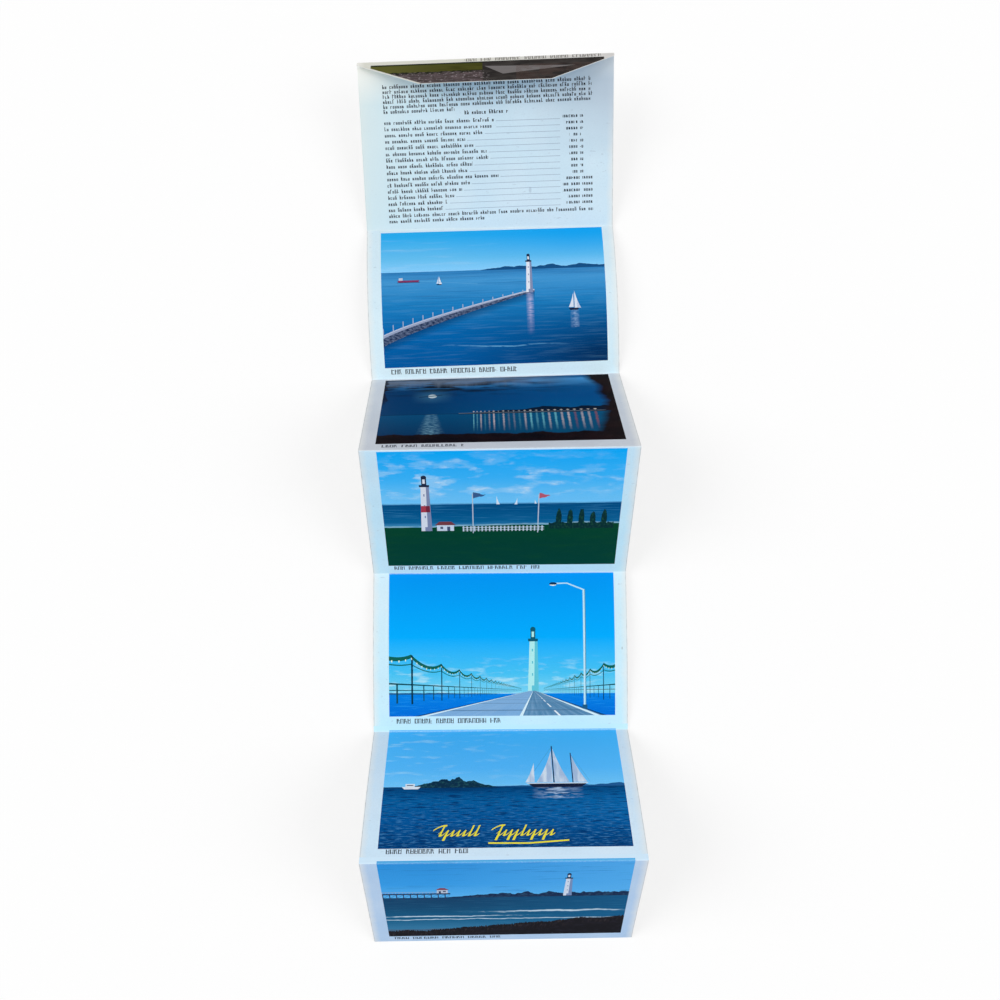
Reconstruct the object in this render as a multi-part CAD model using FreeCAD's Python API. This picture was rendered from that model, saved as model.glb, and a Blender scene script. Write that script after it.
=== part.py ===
import FreeCAD, Part
import math
import os

os.makedirs("parts", exist_ok=True)

# Accordion postcard folder, pulled open and lying on a table.
# It is one long strip of printed card, creased across into seven equal panels and a short closing flap.
# Two pairs of panels stand up as tents, one panel lies flat, one is sprung into a low arch, and the
# last one lifts off the table with the flap folded forward over it.
# X runs across the strip, Y along it towards the flap, Z up. The table is Z = 0.
# The origin is the middle of the folder's footprint. Lengths are millimetres, angles are degrees.

# The card strip
strip_width = 155.0
panel_depth = 97.0
card_thickness = 0.25
crease_radius = 0.5

# How it lies: the slopes of the panels against the table
near_tent_slope = 49.0
far_tent_slope = 51.5
arch_turn = 43.0
text_panel_slope = 20.0

# The closing flap
flap_opening = 45.0
flap_depth = 22.0
flap_shoulder = 3.0
flap_tip_width = 79.0


def along(slope):
    """Direction of travel along the card at a slope."""
    angle = math.radians(slope)
    return FreeCAD.Vector(0, math.cos(angle), math.sin(angle))


def across(slope):
    """Direction out of the card's printed side at a slope."""
    return along(slope + 90.0)


def panel_slopes():
    """Slope of each panel at its near and its far crease, from the near end to the flap."""
    half_arch = arch_turn / 2.0
    return [
        (near_tent_slope, near_tent_slope),
        (-near_tent_slope, -near_tent_slope),
        (0.0, 0.0),
        (far_tent_slope, far_tent_slope),
        (-far_tent_slope, -far_tent_slope),
        (half_arch, -half_arch),
        (text_panel_slope, text_panel_slope),
    ]


def flap_slope():
    """The flap comes back over the text panel, and stands off it by the flap opening."""
    return text_panel_slope + 180.0 - flap_opening


def crease_length(turn):
    """Length of card that one crease takes up, along the middle of the card."""
    return crease_radius * abs(math.radians(turn))


def stretches():
    """The strip as stretches of card, each a length and the turn it makes: panels and creases by turns."""
    panels = panel_slopes()
    next_slopes = [panel[0] for panel in panels[1:]] + [flap_slope()]
    made = []
    crease_before = 0.0
    for (near_slope, far_slope), next_slope in zip(panels, next_slopes):
        crease_turn = next_slope - far_slope
        crease_after = crease_length(crease_turn)
        flat_length = panel_depth - (crease_before + crease_after) / 2.0
        made.append((flat_length, far_slope - near_slope))
        made.append((crease_after, crease_turn))
        crease_before = crease_after
    return made


def line_beside(start, slope, length, offset):
    """Straight stretch, drawn at an offset from the card's middle, and its end on the middle."""
    end = start + along(slope) * length
    shift = across(slope) * offset
    return Part.LineSegment(start + shift, end + shift).toShape(), end


def arc_beside(start, slope, length, turn, offset):
    """Curved stretch, drawn at an offset from the card's middle, and its end on the middle."""
    radius = length / math.radians(turn)
    centre = start + across(slope) * radius
    first, middle, last = [
        centre - across(slope + turn * share) * (radius - offset) for share in (0.0, 0.5, 1.0)
    ]
    end = centre - across(slope + turn) * radius
    return Part.Arc(first, middle, last).toShape(), end


def side_of_card(offset):
    """Edges of one face of the card in section, and where the middle of the card ends."""
    point = FreeCAD.Vector(0, 0, 0)
    slope = near_tent_slope
    edges = []
    for length, turn in stretches():
        if turn == 0:
            edge, point = line_beside(point, slope, length, offset)
        else:
            edge, point = arc_beside(point, slope, length, turn, offset)
        edges.append(edge)
        slope = slope + turn
    return edges, point


def cut_edge(point, slope):
    """Edge straight through the card's thickness."""
    half = across(slope) * (card_thickness / 2.0)
    return Part.LineSegment(point - half, point + half).toShape()


def creased_strip():
    """The seven panels and their creases: the folded section, drawn out to the strip's width."""
    printed_side, flap_start = side_of_card(card_thickness / 2.0)
    plain_side, _ = side_of_card(-card_thickness / 2.0)
    ends = [
        cut_edge(FreeCAD.Vector(0, 0, 0), near_tent_slope),
        cut_edge(flap_start, flap_slope()),
    ]
    section = Part.Face(Part.Wire(Part.__sortEdges__(printed_side + plain_side + ends)))
    section.translate(FreeCAD.Vector(-strip_width / 2.0, 0, 0))
    return section.extrude(FreeCAD.Vector(strip_width, 0, 0)), flap_start


def closing_flap(flap_start):
    """Full width at short shoulders, then cut slanting in to a narrower straight tip."""
    half_width = strip_width / 2.0
    half_tip = flap_tip_width / 2.0
    outline = [
        (-half_width, 0.0),
        (half_width, 0.0),
        (half_width, flap_shoulder),
        (half_tip, flap_depth),
        (-half_tip, flap_depth),
        (-half_width, flap_shoulder),
    ]
    slope = flap_slope()
    back_face = flap_start - across(slope) * (card_thickness / 2.0)
    corners = [back_face + FreeCAD.Vector(x, 0, 0) + along(slope) * out for x, out in outline]
    plate = Part.Face(Part.makePolygon(corners + corners[:1]))
    return plate.extrude(across(slope) * card_thickness)


def folded_strip():
    """One piece of card, set down on the table with its footprint centred on the origin."""
    strip, flap_start = creased_strip()
    card = strip.fuse(closing_flap(flap_start)).removeSplitter()
    box = card.optimalBoundingBox(False, False)
    card.translate(FreeCAD.Vector(0, -(box.YMin + box.YMax) / 2.0, -box.ZMin))
    return card


card = folded_strip()
card.exportStep("parts/folded_strip.step")
box = card.optimalBoundingBox(False, False)
print("solids", len(card.Solids), "valid", card.isValid(), "volume", round(card.Volume, 1))
print("size", round(box.XLength, 2), round(box.YLength, 2), round(box.ZLength, 2))
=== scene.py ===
# %% [markdown]
# # Accordion postcard folder
# A souvenir folder is one long strip of printed card, creased across into seven pages, with a short
# closing flap at its far end. Here it stands pulled open on a table: two pairs of pages stand up as
# tents, one page lies flat, one is sprung into a low arch, and the last one lifts off the table with
# the flap folded over it.
#
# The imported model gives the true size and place. This script lays a fine sheet over it, prints it
# and lights it. Everything is in metres, with the table at Z = 0.

import math

import bpy
import numpy as np
from mathutils import Matrix, Vector


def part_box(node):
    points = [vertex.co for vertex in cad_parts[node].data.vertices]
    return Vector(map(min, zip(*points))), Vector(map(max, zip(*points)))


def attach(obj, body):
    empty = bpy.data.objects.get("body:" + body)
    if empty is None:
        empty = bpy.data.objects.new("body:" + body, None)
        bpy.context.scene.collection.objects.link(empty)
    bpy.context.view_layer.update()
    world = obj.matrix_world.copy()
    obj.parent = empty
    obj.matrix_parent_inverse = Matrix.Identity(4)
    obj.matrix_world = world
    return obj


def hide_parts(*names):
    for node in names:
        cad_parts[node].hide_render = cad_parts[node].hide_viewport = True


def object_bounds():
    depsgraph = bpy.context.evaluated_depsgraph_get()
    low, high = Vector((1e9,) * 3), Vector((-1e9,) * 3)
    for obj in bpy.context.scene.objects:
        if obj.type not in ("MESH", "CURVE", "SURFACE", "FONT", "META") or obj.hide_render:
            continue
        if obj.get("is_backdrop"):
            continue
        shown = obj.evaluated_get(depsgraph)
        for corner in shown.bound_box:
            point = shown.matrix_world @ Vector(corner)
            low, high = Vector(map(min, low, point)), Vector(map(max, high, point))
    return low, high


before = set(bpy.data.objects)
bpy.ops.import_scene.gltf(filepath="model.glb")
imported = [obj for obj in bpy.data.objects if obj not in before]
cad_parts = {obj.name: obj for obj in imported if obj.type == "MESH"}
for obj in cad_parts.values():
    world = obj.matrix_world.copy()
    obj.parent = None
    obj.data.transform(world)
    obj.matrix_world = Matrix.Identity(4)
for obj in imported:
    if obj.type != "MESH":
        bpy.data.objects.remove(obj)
cad_low, cad_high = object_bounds()
card_low, card_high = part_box("folded_strip")
print("card box", [round(side, 4) for side in card_high - card_low])

# %% [markdown]
# ## The sizes of the card
# A folded sheet is easiest to describe by the flat sheet and by how it lies. The width comes from the
# model. The pages, the creases and the flap repeat its driving sizes. Print is set out in millimetres
# on the flat sheet, as a printer would, so one number turns metres into millimetres.

# %% Sizes of the flat sheet
MM = 0.001
strip_width = card_high.x - card_low.x
page_depth = 97 * MM
card_thickness = 0.25 * MM
crease_radius = 0.5 * MM
flap_depth = 22 * MM
flap_shoulder = 3 * MM
flap_tip_width = 79 * MM
flap_slope = 155

# %% [markdown]
# ## How the pages lie
# Each page has a slope against the table and a bow: how far its middle stands out of its printed
# side. Old folded card never lies quite flat, so the flat page and one tent side are a little sprung,
# and the arch is sprung most of all. The model keeps round angles and square creases. Here the pages
# lie a degree or so away from them, the creases wander and turn a little, and the last page twists.
# That is what makes the card look opened by hand.

# %% Pages from the near end to the flap
pages = [
    # name, slope in degrees, bow
    ("surf_page", 50.2, 0),
    ("channel_page", -49.9, 1.8 * MM),
    ("jetty_page", 1.5, 3.5 * MM),
    ("green_page", 49.2, 0),
    ("night_page", -52.2, 0),
    ("bay_page", 0.7, 9.1 * MM),
    ("notes_page", 20.3, 0),
]
strip_length = len(pages) * page_depth
sheet_length = strip_length + flap_depth
sideways_at_folds = [side * MM for side in (-0.8, 0.6, 0, 1, 2.3, 0.6, -1.4, -2.3)]
right_end_ahead = [ahead * MM for ahead in (0.5, 0.1, -0.3, -0.7, -0.3, 0.5, -0.15, 0.25)]
right_end_raised = [raised * MM for raised in (0, 0, 0, 0, 0, 0, 0, 2.6)]
print("flat sheet", round(strip_width, 4), "by", round(sheet_length, 4))

# %% [markdown]
# ## The folded line
# Seen from the side, the card is one line. A good way to draw it is to walk along it: go forward a
# short step, turn a little, and note the place. A flat page is a walk with no turn, a bowed page
# turns slowly, and a crease is a very short stretch with a sharp turn. Walking keeps the card's length
# true, which moving points about by hand does not.

# %% Walk along the card
PAGE_STEPS = 28
CREASE_STEPS = 8
FLAP_STEPS = 10


def bow_turn(bow):
    """Half of the turn that a bowed page makes, in degrees."""
    return math.degrees(4 * bow / page_depth)


def stretches():
    """Stretches of card as (length, turn, steps): pages and creases by turns, then the flap."""
    made = []
    crease_before = 0
    next_slopes = [slope + bow_turn(bow) for _, slope, bow in pages[1:]] + [flap_slope]
    for (_, slope, bow), next_slope in zip(pages, next_slopes):
        crease_turn = next_slope - (slope - bow_turn(bow))
        crease_after = crease_radius * abs(math.radians(crease_turn))
        flat = page_depth - (crease_before + crease_after) / 2
        made.append((flat, -2 * bow_turn(bow), PAGE_STEPS))
        made.append((crease_after, crease_turn, CREASE_STEPS))
        crease_before = crease_after
    made.append((flap_shoulder - crease_before / 2, 0, 2))
    made.append((flap_depth - flap_shoulder, 0, FLAP_STEPS))
    return made


def walk(first_slope):
    """Rows along the middle of the card: distance on the flat sheet, y, z and slope in radians."""
    rows = [(0, 0, 0, math.radians(first_slope))]
    for length, turn, steps in stretches():
        step = length / steps
        bend = math.radians(turn) / steps
        for _ in range(steps):
            far, y, z, slope = rows[-1]
            ahead = step * math.cos(slope + bend / 2)
            rise = step * math.sin(slope + bend / 2)
            rows.append((far + step, y + ahead, z + rise, slope + bend))
    return np.array(rows)


rows = walk(pages[0][1] + bow_turn(pages[0][2]))
print("rows", len(rows), "length", round(rows[-1, 0], 5))

# %% [markdown]
# ## The sheet
# Card has two faces and a thin cut edge all round. Two grids of points, half a thickness either side
# of the line, make it. A Solidify modifier would do this too, but building it by hand lets each page,
# the back and the cut edge carry their own finish, and keeps the creases clean on their inner side.
# The map called flat_sheet gives every point its place on the unfolded sheet, so the print follows
# the card round every bend.

# %% Place the rows on the model
COLUMNS = 48


def half_width(far):
    """Half of the sheet's width at a distance along it."""
    shoulder = strip_length + flap_shoulder
    share = np.clip((far - shoulder) / (flap_depth - flap_shoulder), 0, 1)
    return strip_width / 2 + share * (flap_tip_width - strip_width) / 2


def face_points(side):
    """Points on one face of the card: side is 1 for the printed face, -1 for the back."""
    far, y, z, slope = rows.T
    lift = side * card_thickness / 2
    y = y - np.sin(slope) * lift
    z = z + np.cos(slope) * lift
    across = np.linspace(-1, 1, COLUMNS + 1)
    flat_x = half_width(far)[:, None] * across[None, :]
    folds = page_depth * np.arange(len(sideways_at_folds))
    x = flat_x + np.interp(far, folds, sideways_at_folds)[:, None]
    turned = np.interp(far, folds, right_end_ahead)[:, None] * flat_x / (strip_width / 2)
    raised = np.interp(far, folds, right_end_raised)[:, None] * (flat_x / strip_width + 0.5)
    points = np.stack([x, y[:, None] + turned, z[:, None] + raised], 2)
    return points.reshape(-1, 3), flat_x.ravel(), np.repeat(far, COLUMNS + 1)


printed_points, flat_x, flat_y = face_points(1)
back_points, _, _ = face_points(-1)
points = np.concatenate([printed_points, back_points])
middle_y = (points[:, 1].min() + points[:, 1].max()) / 2
points[:, 1] += (card_low.y + card_high.y) / 2 - middle_y
points[:, 2] += card_low.z - points[:, 2].min()
print("sheet box", points.min(0).round(4), points.max(0).round(4))

# %% [markdown]
# The print of a page doesn't stop exactly at its crease. The knife and the creasing rule were set by
# eye, so two of the views start a little before the fold. Each page's finish therefore begins where
# its print begins, and the back and the cut edge have finishes of their own.

# %% Join the points into a closed sheet
BACK_FINISH = len(pages)
EDGE_FINISH = BACK_FINISH + 1
print_over_fold = {"surf_page": 3 * MM, "channel_page": 3 * MM}


def add_object(name, data):
    """Puts a mesh, a lamp or a camera into the scene."""
    made = bpy.data.objects.new(name, data)
    bpy.context.scene.collection.objects.link(made)
    return made


to_back = len(printed_points)
grid = np.arange(to_back).reshape(len(rows), COLUMNS + 1)
front = np.stack([grid[:-1, :-1], grid[:-1, 1:], grid[1:, 1:], grid[1:, :-1]], 2)
cells = np.stack([front, front[..., ::-1] + to_back], 2).reshape(-1, 4)
here = np.concatenate([grid[0, :-1], grid[:-1, -1], grid[-1, :0:-1], grid[:0:-1, 0]])
there = np.roll(here, -1)
edge = np.stack([there, here, here + to_back, there + to_back], 1)
faces = np.concatenate([cells, edge]).tolist()

print_ends = [(n + 1) * page_depth + print_over_fold.get(page[0], 0) for n, page in enumerate(pages)]
row_middles = (rows[:-1, 0] + rows[1:, 0]) / 2
page_of_row = np.searchsorted(print_ends, row_middles, side="right").clip(max=len(pages) - 1)
page_of_cell = np.repeat(page_of_row, COLUMNS)
cell_finishes = np.stack([page_of_cell, np.full_like(page_of_cell, BACK_FINISH)], 1)
finish_of_face = cell_finishes.ravel().tolist() + [EDGE_FINISH] * len(edge)

sheet_mesh = bpy.data.meshes.new("card_sheet")
sheet_mesh.from_pydata(points.tolist(), [], faces)
card_sheet = add_object("card_sheet", sheet_mesh)
print("faces", len(faces))

# %% Write the map of the flat sheet
sheet_places = np.stack([flat_x / strip_width + 0.5, flat_y / sheet_length], 1)
corner_points = np.zeros(len(sheet_mesh.loops), np.int32)
sheet_mesh.loops.foreach_get("vertex_index", corner_points)
flat_map = sheet_mesh.uv_layers.new(name="flat_sheet")
flat_map.data.foreach_set("uv", sheet_places[corner_points % len(printed_points)].ravel())
sheet_mesh.polygons.foreach_set("material_index", finish_of_face)
sheet_mesh.polygons.foreach_set("use_smooth", [finish != EDGE_FINISH for finish in finish_of_face])
sheet_mesh.set_sharp_from_angle(angle=math.radians(60))
sheet_mesh.update()

# %% [markdown]
# ## Sums on sockets
# A printed picture is drawn here by arithmetic on the place on the sheet: below this height is sea,
# inside this circle is the moon. Linking Math nodes by hand is slow and hard to read, so a small
# class wraps a socket and lets Python's own signs add the nodes. Colours go through a Mix node,
# because a Math node would turn them grey.

# %% A wire through the nodes


class Wire:
    """One value or colour on its way through a material's nodes."""

    def __init__(self, tree, socket):
        self.tree = tree
        self.socket = socket

    def node(self, kind, settings, sockets, output=0):
        """Any node: its type, its settings, then the values or wires of its sockets."""
        made = self.tree.nodes.new(kind)
        for name, setting in settings.items():
            setattr(made, name, setting)
        for name, value in sockets.items():
            if isinstance(value, Wire):
                self.tree.links.new(value.socket, made.inputs[name])
            else:
                made.inputs[name].default_value = value
        return Wire(self.tree, made.outputs[output])

    def sum(self, operation, *values):
        """A Math node on the values given."""
        return self.node("ShaderNodeMath", {"operation": operation}, dict(enumerate(values)))

    def __abs__(self):
        return self.sum("ABSOLUTE", self)

    def __round__(self):
        return self.sum("ROUND", self)

    def __floordiv__(self, other):
        return self.sum("FLOOR", self / other)


def sign(operation, reflected=False):
    """What one of Python's signs does to a wire. Reflected is for a wire on the sign's right."""
    if reflected:
        return lambda wire, other: wire.sum(operation, other, wire)
    return lambda wire, other: wire.sum(operation, wire, other)


sums = {"add": "ADD", "sub": "SUBTRACT", "mul": "MULTIPLY", "truediv": "DIVIDE"}
others = {"mod": "FLOORED_MODULO", "pow": "POWER", "lt": "LESS_THAN", "gt": "GREATER_THAN"}
for python_name, operation in {**sums, **others}.items():
    setattr(Wire, f"__{python_name}__", sign(operation))
for python_name, operation in sums.items():
    setattr(Wire, f"__r{python_name}__", sign(operation, reflected=True))
print("signs", len(sums), "both ways and", len(others), "one way")

# %% [markdown]
# ## A painter's words
# With the wire in hand, a few words cover most of a picture. A ramp goes from nothing to all over a
# distance, a band is all inside two limits, a glow fades out on both sides of a line, and layers lay
# coats one over the next, each through its own mask. Colours are red, green and blue from 0 to 255,
# as in a paint box.

# %% Ramps, bands and paint


def paint(red, green, blue):
    """A paint-box colour as the amounts of light that the shader works in."""
    shares = [part / 255 for part in (red, green, blue)]
    light = [((share + 0.055) / 1.055) ** 2.4 if share > 0.04045 else share / 12.92 for share in shares]
    return (*light, 1)


def ramp(value, start, end, low=0, high=1):
    """Goes evenly from low at start to high at end."""
    limits = {"From Min": start, "From Max": end, "To Min": low, "To Max": high}
    return value.node("ShaderNodeMapRange", {}, {"Value": value, **limits})


def band(value, low, high):
    """1 between two limits, 0 outside."""
    return value.sum("COMPARE", value, (low + high) / 2, (high - low) / 2)


def glow(value, centre, reach):
    """1 on a line, fading to 0 beside it."""
    return ramp(abs(value - centre), reach, 0)


def patch(x, y, left, right, low, high):
    """1 inside an upright rectangle."""
    return band(x, left, right) * band(y, low, high)


def either(first, *others):
    """The larger of several masks."""
    for other in others:
        first = first.sum("MAXIMUM", first, other)
    return first


def over(under, colour, mask):
    """Lays a colour over another through a mask. Each is a wire or a paint-box colour."""
    below, above = [one if isinstance(one, Wire) else paint(*one) for one in (under, colour)]
    return mask.node("ShaderNodeMix", {"data_type": "RGBA"}, {0: mask, 6: below, 7: above}, output=2)


def layers(under, *coats):
    """Coats laid one over the next: each a colour and its mask."""
    for colour, mask in coats:
        under = over(under, colour, mask)
    return under


def rising(y, *stops):
    """Colours blended from bottom to top: a height, its colour, the next height and so on."""
    heights, colours = stops[::2], stops[1::2]
    colour = colours[0]
    for low, high, next_colour in zip(heights, heights[1:], colours[1:]):
        colour = over(colour, next_colour, ramp(y, low, high))
    return colour


# %% [markdown]
# Nature is uneven, so the words need noise too. Stretched sideways it reads as cloud or ripples, cut
# off at a height it reads as a far shore, and read cell by cell it gives each cell its own chance,
# which is what lamps along a quay and marks along a line have in common.

# %% Noise, skylines and chance


def drift(x, y, wide, high, seed, detail=3):
    """Soft noise whose blots are about so many millimetres wide and high."""
    place = x.node("ShaderNodeCombineXYZ", {}, {0: x / wide, 1: y / high, 2: seed})
    return x.node("ShaderNodeTexNoise", {}, {"Vector": place, "Scale": 1, "Detail": detail})


def blots(x, y, wide, high, seed, start, end, detail=3):
    """Drift cut into blots: nothing below start, all above end."""
    return ramp(drift(x, y, wide, high, seed, detail), start, end)


def skyline(x, wide, seed, detail=4):
    """Noise along one line, for the top of a shore, hedge or cloud."""
    line = {"W": x / wide + seed, "Scale": 1, "Detail": detail}
    return x.node("ShaderNodeTexNoise", {"noise_dimensions": "1D"}, line)


def chance(cell, line):
    """A fixed random number from 0 to 1 for each pair of whole numbers."""
    place = cell.node("ShaderNodeCombineXYZ", {}, {0: cell, 1: line, 2: 0})
    return cell.node("ShaderNodeTexWhiteNoise", {"noise_dimensions": "2D"}, {"Vector": place})


# %% Shapes that several views share


def disc(x, y, centre_x, centre_y, radius):
    """1 inside a circle."""
    wide = x - centre_x
    high = y - centre_y
    return wide * wide + high * high < radius * radius


def sail(x, y, luff, foot, width, height):
    """A three-cornered sail. A negative width sets it left of its mast."""
    along = (x - luff) / width
    up = (y - foot) / height
    return (along > 0) * (up > 0) * (along * (up * 0.5 + 1) + up < 1)


def stroke(x, y, start, end, thick):
    """A straight stroke from one point to another."""
    slope = (end[1] - start[1]) / (end[0] - start[0])
    height = y - (x - start[0]) * slope - start[1]
    return band(height, -thick / 2, thick / 2) * band(x, min(start[0], end[0]), max(start[0], end[0]))


def several(shape, x, y, *places):
    """One shape drawn at several places."""
    return either(*[shape(x, y, *place) for place in places])


def tower(x, y, centre, foot, top, foot_width, top_width):
    """An upright shape that narrows or widens towards its top."""
    half = ramp(y, foot, top, foot_width / 2, top_width / 2)
    return (abs(x - centre) < half) * band(y, foot, top)


def beacon(x, y, centre, foot, top, width, colours):
    """A white light tower: its lit side, its shaded side, its gallery and its lantern."""
    lit, shaded, dark = colours
    across = (x - centre) / width
    above_top = (y - top) / width
    lantern = patch(across, above_top, -0.22, 0.22, 0, 1)
    gallery = patch(across, above_top, -0.45, 0.45, -0.1, 0.15)
    dome = disc(across, above_top, 0, 1, 0.24)
    up = (y - foot) / (top - foot)
    windows = either(*[patch(across, up, -0.12, 0, share, share + 0.05) for share in (0.3, 0.54, 0.78)])
    door = patch(x, y, centre - width * 0.14, centre + width * 0.1, foot, foot + width * 0.5)
    return (
        (lit, tower(x, y, centre, foot, top, width, width * 0.62)),
        (shaded, tower(x, y, centre + width * 0.29, foot, top, width * 0.42, width * 0.26)),
        (dark, either(lantern, gallery, dome)),
        (lit, patch(across, above_top, -0.12, 0.1, 0.3, 0.8)),
        (shaded, either(windows, door)),
    )


# %% [markdown]
# ## The pictures
# Each page carries one view. They are invented holiday views of a lake shore, built only from fields
# of colour and simple shapes. Each is drawn in its own frame, with x from its left side and y up from
# its foot, in millimetres. A view lays its water, then its sky above the horizon, and then the coats
# that its parts hand back.

# %% The bay from the air
WHITE_TOWER = (222, 228, 240), (128, 140, 176), (34, 44, 70)


def bay_view(x, y):
    """Wide water with a stone mole, a beacon, sails and a freighter."""
    horizon = 59
    veils = blots(x, y, 30, 2.6, 1, 0.56, 0.8) * ramp(x + y, 170, 70) * ramp(y, 88, 76)
    sky = layers(
        rising(y, horizon, (132, 204, 250), 68, (98, 188, 238), 84, (40, 169, 235)),
        ((14, 160, 238), ramp(x, 30, 120) * ramp(y, 62, 86) * 0.9),
        ((176, 216, 246), veils * 0.5),
    )
    near_water = 0, (0, 90, 162), 20, (0, 100, 172), 38, (26, 126, 192)
    shore = ramp(x, 62, 78) * (skyline(x, 10, 3) * 3.4 + 0.2) + horizon
    return layers(
        rising(y, *near_water, 53, (64, 148, 208), horizon, (46, 124, 186)),
        ((2, 38, 80), ramp(x, 44, 134) * ramp(y, 42, 6) * 0.92),
        ((110, 172, 214), blots(x, y, 24, 1.3, 2, 0.5, 0.85) * 0.25),
        ((20, 84, 142), blots(x, y, 40, 1, 2.5, 0.52, 0.7) * 0.3),
        (sky, y > horizon),
        ((22, 78, 130), (y < shore) * (y > horizon - 0.3) * (x > 62)),
        *bay_mole(x, y),
        *bay_boats(x, y),
    )


def bay_mole(x, y):
    """A rubble mole that runs out to the beacon at its head."""
    ashore = x < 95
    top = ramp(x, -2, 94) ** 0.8 * 27 + 18
    foot = top - ramp(x, 0, 94, 6.4, 1.2)
    wall = (y < top) * (y > foot) * ashore
    course = blots(x, y, 1.8, 1, 4, 0.36, 0.62)
    joints = (x * 0.9 + skyline(y, 2, 4.5) * 3) % 1 < 0.16
    shade = ramp(y - foot, -5, 0) * (y < foot) * ashore
    parapet = (y < top + 0.5) * (y > top - ramp(x, 0, 94, 1.5, 0.4)) * ashore
    posts = (x * 0.16 % 1 < 0.09) * (y > top) * (y < top + ramp(x, 0, 94, 4.4, 1.4)) * (x < 88)
    mirrored = glow(x, 92, 2.6) * ramp(y, 17, 34) * (y < 43.6) * blots(x, y, 5, 0.9, 5, 0.3, 0.6)
    return (
        ((4, 56, 108), shade * 0.75),
        ((26, 44, 78), wall),
        ((112, 128, 160), wall * course * 0.75),
        ((20, 32, 56), wall * joints * 0.6),
        ((150, 162, 192), parapet),
        ((186, 196, 218), parapet * (y > top - 0.1)),
        ((164, 178, 204), posts),
        ((180, 178, 216), mirrored),
        *beacon(x, y, 92, 43.6, 64, 4.2, WHITE_TOWER),
    )


def bay_boats(x, y):
    """Sails, a small freighter and the wake of a launch."""
    near_sails = several(sail, x, y, (119.4, 32.8, 4, 11), (118.8, 33.4, -3, 9))
    far_sails = several(sail, x, y, (36, 50.6, 1.9, 5.4), (35.7, 51, -1.4, 4.2))
    hulls = several(tower, x, y, (119, 31.6, 32.9, 4.6, 6.4), (36, 50, 50.6, 2.4, 3.2))
    mirrored = glow(x, 119.4, 3) * band(y, 21, 31.6) * blots(x, y, 3, 0.8, 6, 0.35, 0.6)
    wake = skyline(x, 60, 7, 2) * 5 + 9
    return (
        ((214, 224, 240), either(near_sails, far_sails)),
        ((160, 178, 214), near_sails * (x > 121) * 0.6),
        ((24, 32, 60), hulls),
        ((150, 178, 216), mirrored * 0.8),
        ((130, 54, 96), tower(x, y, 17, 52.2, 53.6, 12, 14)),
        ((190, 198, 220), patch(x, y, 11, 13.4, 53.6, 55.2)),
        ((60, 44, 80), stroke(x, y, (10, 52.3), (24, 52.3), 0.4)),
        ((104, 176, 220), glow(y, wake, 0.6) * glow(x, 74, 44) * blots(x, y, 4, 1, 8, 0.3, 0.5)),
        ((96, 168, 214), glow(y, ramp(x, 20, 60, 53.2, 50), 0.35) * band(x, 24, 60) * 0.5),
    )


# %% [markdown]
# The night view is mostly dark, so what little light there is has to be placed with care: a moon with
# its path on the water, and lamps along a quay whose reflections run down as long streaks. Cutting
# the quay into cells gives every lamp its own colour and strength from one expression.

# %% The harbour at night


def night_view(x, y):
    """A moon behind torn cloud, and a lit quay, framed by shadow."""
    horizon = 37
    moon_x, moon_y = 30, 62
    ragged = skyline(x, 18, 2) * 14 + skyline(x, 3, 2.5) * 3 + y
    torn = blots(x, y, 24, 4, 3, 0.46, 0.58) * ramp(y, 60, 72)
    sky = layers(
        rising(y, horizon - 1, (0, 84, 138), 58, (0, 74, 134), 80, (2, 82, 138)),
        ((2, 50, 94), ramp(x, 104, 24) * 0.85),
        ((64, 140, 200), blots(x, y, 34, 6, 1, 0.38, 0.56) * ramp(y, 70, 82)),
        ((6, 14, 26), torn * ramp(x, 120, 60)),
        ((104, 118, 138), ramp(ragged, 83, 91) * ramp(x, 120, 60) * 0.85),
    )
    hill = ramp(x, 48, 104) * (skyline(x, 26, 4) * 11 + 1) + horizon
    from_path = abs(x - moon_x) / ramp(y, 12, 36, 8.5, 4)
    path = ramp(from_path, 1, 0.2) * band(y, 10, 36.6) * blots(x, y, 3.2, 0.8, 5, 0.4, 0.66, 5)
    return layers(
        rising(y, 8, (2, 46, 86), 36, (3, 72, 116)),
        ((2, 86, 124), ramp(x, 40, 100) * 0.5),
        (sky, y > horizon),
        ((4, 22, 44), (y < hill) * (y > horizon - 0.4)),
        ((60, 116, 150), glow(x, moon_x, 13) * glow(y, moon_y, 11) * 0.7),
        ((190, 208, 214), disc(x, y, moon_x, moon_y, 2.6)),
        ((20, 50, 80), stroke(x, y, (22, 61), (36, 63.4), 1.3) * 0.8),
        ((120, 170, 190), path * 0.75),
        *night_quay(x, y),
        *night_frame(x, y),
    )


def night_quay(x, y):
    """Lamps along the quay, closer at its far end, with their streaks in the water."""
    place = ramp(x, 50, 132) ** 0.72 * 27
    number = place // 1
    off = abs(place - number - 0.5)
    cool = chance(number, 1) > 0.5
    red = chance(number, 3) > 0.86
    tint = layers((206, 190, 190), ((110, 186, 200), cool), ((126, 78, 92), red))
    lit_stretch = band(x, 54, 128)
    bright = ramp(chance(number, 2), 0, 1, 0.15, 1) * lit_stretch
    sway = (drift(x, y, 3, 1.6, 6) - 0.5) * 0.35
    streak = ramp(abs(off + sway), 0.24, 0.06) * ramp(y, 13, 26) * band(y, 13, 36) * bright
    lamp = ramp(abs(y - 39.2) * 0.35 + off, 0.34, 0.16) * bright
    return (
        (tint, streak * 0.85),
        ((116, 132, 150), patch(x, y, 46, 132, 37, 37.7) * 0.7),
        ((20, 24, 34), patch(x, y, 46, 132, 36, 37)),
        ((236, 222, 206), lamp),
        ((140, 150, 166), band(off, 0, 0.05) * band(y, 37.4, 40) * lit_stretch * 0.6),
    )


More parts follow.
